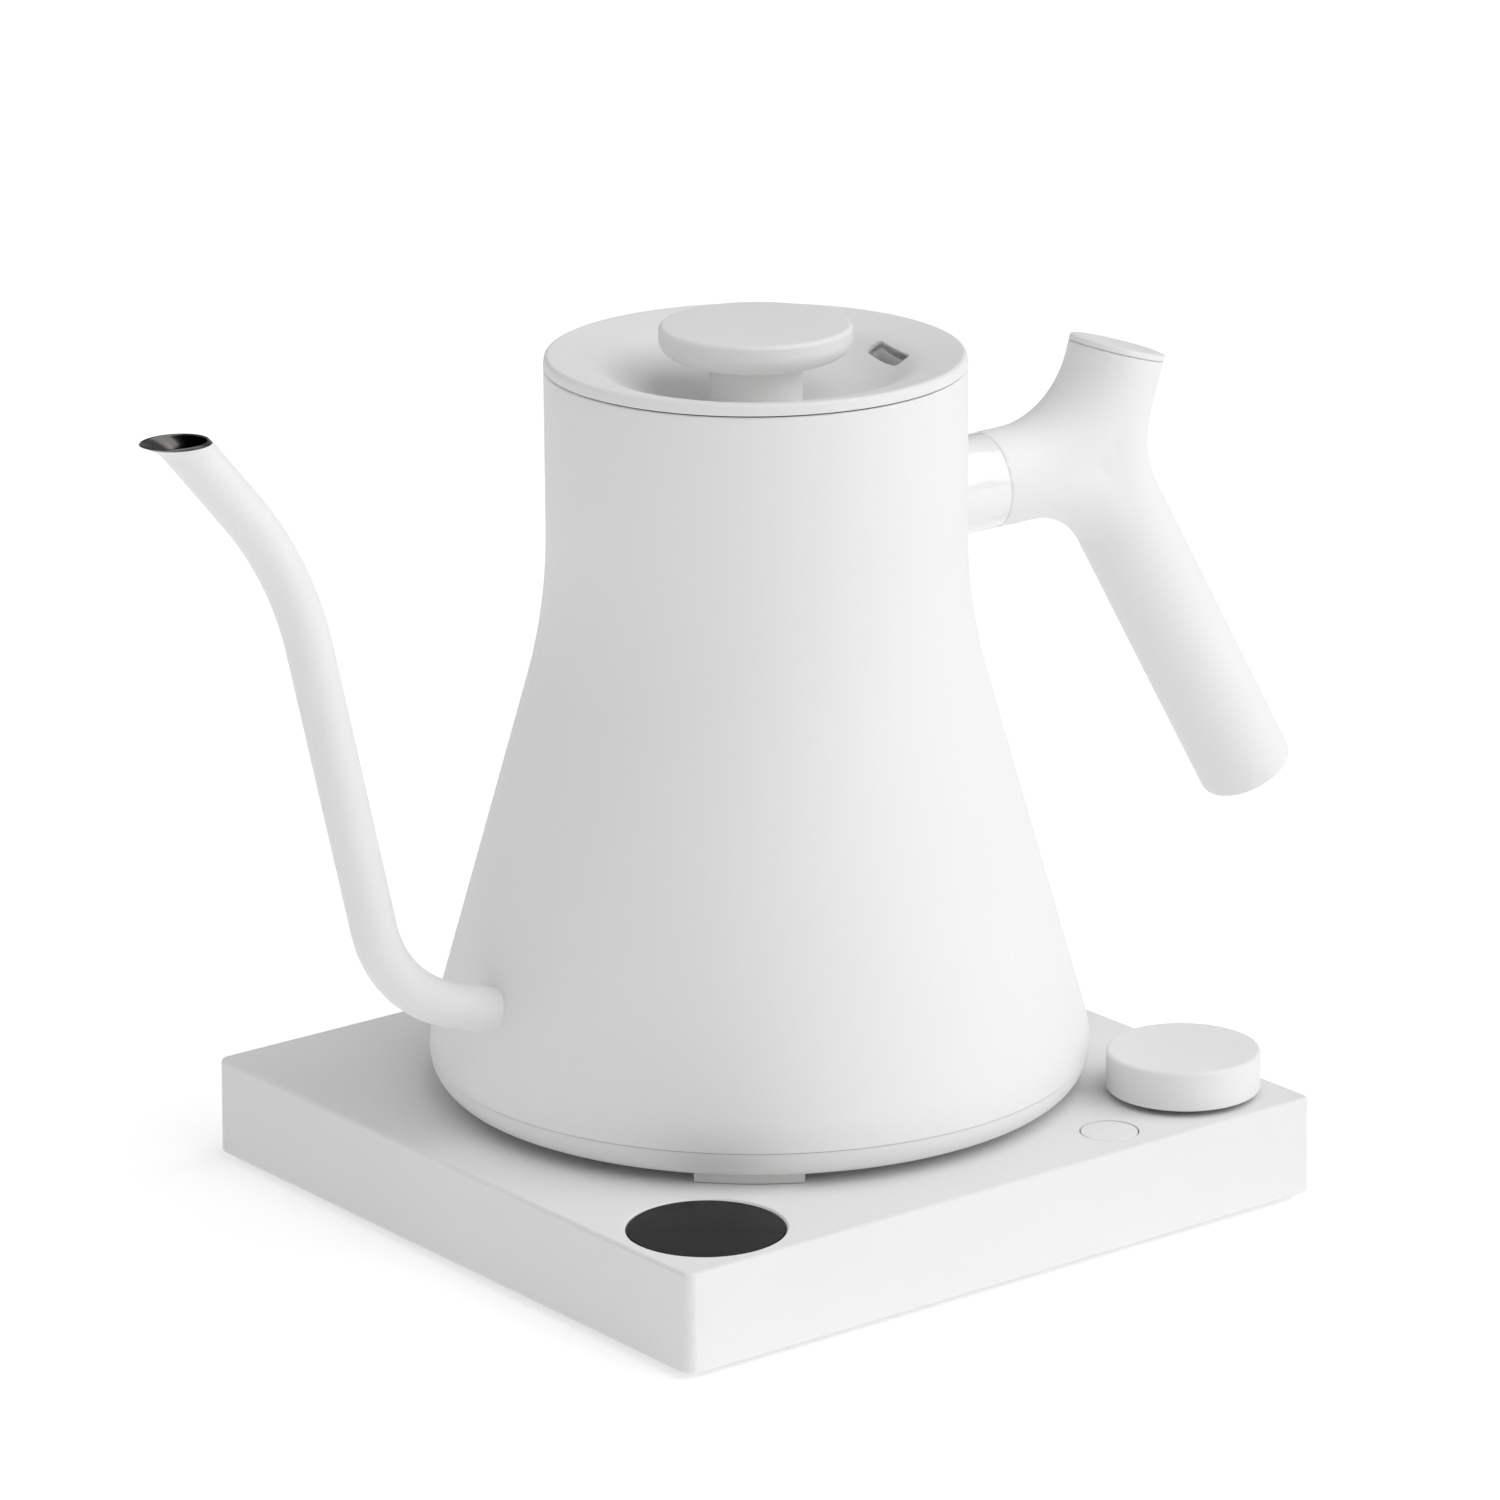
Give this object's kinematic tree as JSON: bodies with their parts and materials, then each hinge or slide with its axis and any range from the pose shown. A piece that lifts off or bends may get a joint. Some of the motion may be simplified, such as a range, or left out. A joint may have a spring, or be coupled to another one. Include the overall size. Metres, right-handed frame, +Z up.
{
  "type": "gooseneck kettle",
  "caption": "Electric gooseneck pour-over kettle with a lift-off lid and a branched handle, on a square control base with a display, a button and a turning dial.",
  "frame": {"origin": "centre of the square base on the surface that it stands on, on the kettle's vertical axis", "axes": "+Z up; -Y is the front edge with the display, button and dial; the spout points to -X and the handle to +X, turned 6 degrees clockwise as seen from above"},
  "size_m": [0.2861, 0.1726, 0.1945],
  "materials": {
    "housing_white": "fine matte moulded plastic",
    "body_white": "satin-matte white powder coat on steel",
    "spout_white": "satin-matte white powder coat, bare steel at the mouth",
    "grip_white": "soft matte moulded plastic",
    "collar_white": "glossy white plastic",
    "lid_white": "fine matte plastic",
    "dial_white": "fine matte plastic",
    "plate_white": "matte moulded plastic",
    "black_lens": "polished smoked lens",
    "black_plastic": "black heat-resistant plastic",
    "rubber_grey": "matte grey rubber",
    "silicone_white": "soft translucent white silicone",
    "bare_steel": "fine brushed stainless steel",
    "zinc_screw": "zinc-plated steel",
    "aluminium_plate": "rolled aluminium",
    "brass_contact": "stamped brass",
    "board_green": "solder-masked circuit board",
    "relay_blue": "moulded component case",
    "display_glass": "display module"
  },
  "bodies": {
    "base": {"base_housing": "housing_white", "base_bottom_plate": "plate_white", "base_screws": "zinc_screw", "base_foot_1": "rubber_grey", "base_foot_2": "rubber_grey", "base_foot_3": "rubber_grey", "base_foot_4": "rubber_grey", "base_foot_5": "rubber_grey", "board_screws": "zinc_screw", "control_board": "board_green", "power_board": "board_green", "relay": "relay_blue", "transformer": "black_plastic", "display_holder": "black_plastic", "display_panel": "display_glass", "display_lens": "black_lens", "encoder_body": "black_plastic", "button_switch": "black_plastic", "cord_gland": "housing_white", "connector_seat": "housing_white"},
    "connector": {"connector_nose": "black_plastic", "nose_contacts": "brass_contact"},
    "kettle": {"kettle_connector": "black_plastic", "connector_pin": "bare_steel", "connector_blade": "brass_contact", "kettle_body": "body_white", "spout": "spout_white", "kettle_floor": "bare_steel", "kettle_base_ring": "housing_white", "kettle_pad_1": "silicone_white", "kettle_pad_2": "silicone_white", "kettle_pad_3": "silicone_white", "bottom_cover": "black_plastic", "floor_posts": "bare_steel", "bottom_screws": "zinc_screw", "heat_spreader": "aluminium_plate", "heating_element": "bare_steel", "element_terminals": "bare_steel", "thermal_cutouts": "aluminium_plate", "temperature_probe": "bare_steel", "handle_grip": "grip_white", "handle_collar": "collar_white", "handle_bracket": "bare_steel", "handle_screw": "zinc_screw", "handle_cap": "grip_white"},
    "lid_seal": {"lid_gasket": "silicone_white"},
    "lid": {"lid_cap": "lid_white", "lid_knob": "lid_white", "lid_liner": "bare_steel", "lid_spacer": "bare_steel", "lid_screw": "zinc_screw"},
    "dial_plunger": {"encoder_plunger": "black_plastic"},
    "dial": {"dial_cap": "dial_white", "dial_shaft": "bare_steel"},
    "button": {"button_cap": "dial_white"}
  },
  "joints": [
    {"name": "kettle_turn", "type": "hinge", "parent": "base", "child": "connector", "pos_m": [0, 0, 0.02], "axis": [0, 0, 1], "continuous": true},
    {"name": "kettle_lift", "type": "slide", "parent": "connector", "child": "kettle", "axis": [0, 0, 1], "range_m": [0, 0.12]},
    {"name": "lid_lift", "type": "slide", "parent": "kettle", "child": "lid_seal", "axis": [0, 0, 1], "range_m": [0, 0.06]},
    {"name": "lid_turn", "type": "hinge", "parent": "lid_seal", "child": "lid", "pos_m": [0, 0, 0.174], "axis": [0, 0, 1], "continuous": true},
    {"name": "dial_press", "type": "slide", "parent": "base", "child": "dial_plunger", "axis": [0, 0, -1], "range_m": [0, 0.0005], "stiffness_N_per_m": 3000, "springref_m": -0.0005},
    {"name": "dial_turn", "type": "hinge", "parent": "dial_plunger", "child": "dial", "pos_m": [0.066, -0.066, 0.02], "axis": [0, 0, 1], "continuous": true},
    {"name": "button_press", "type": "slide", "parent": "base", "child": "button", "axis": [0, 0, -1], "range_m": [0, 0.0008], "stiffness_N_per_m": 1500, "springref_m": -0.0008}
  ]
}
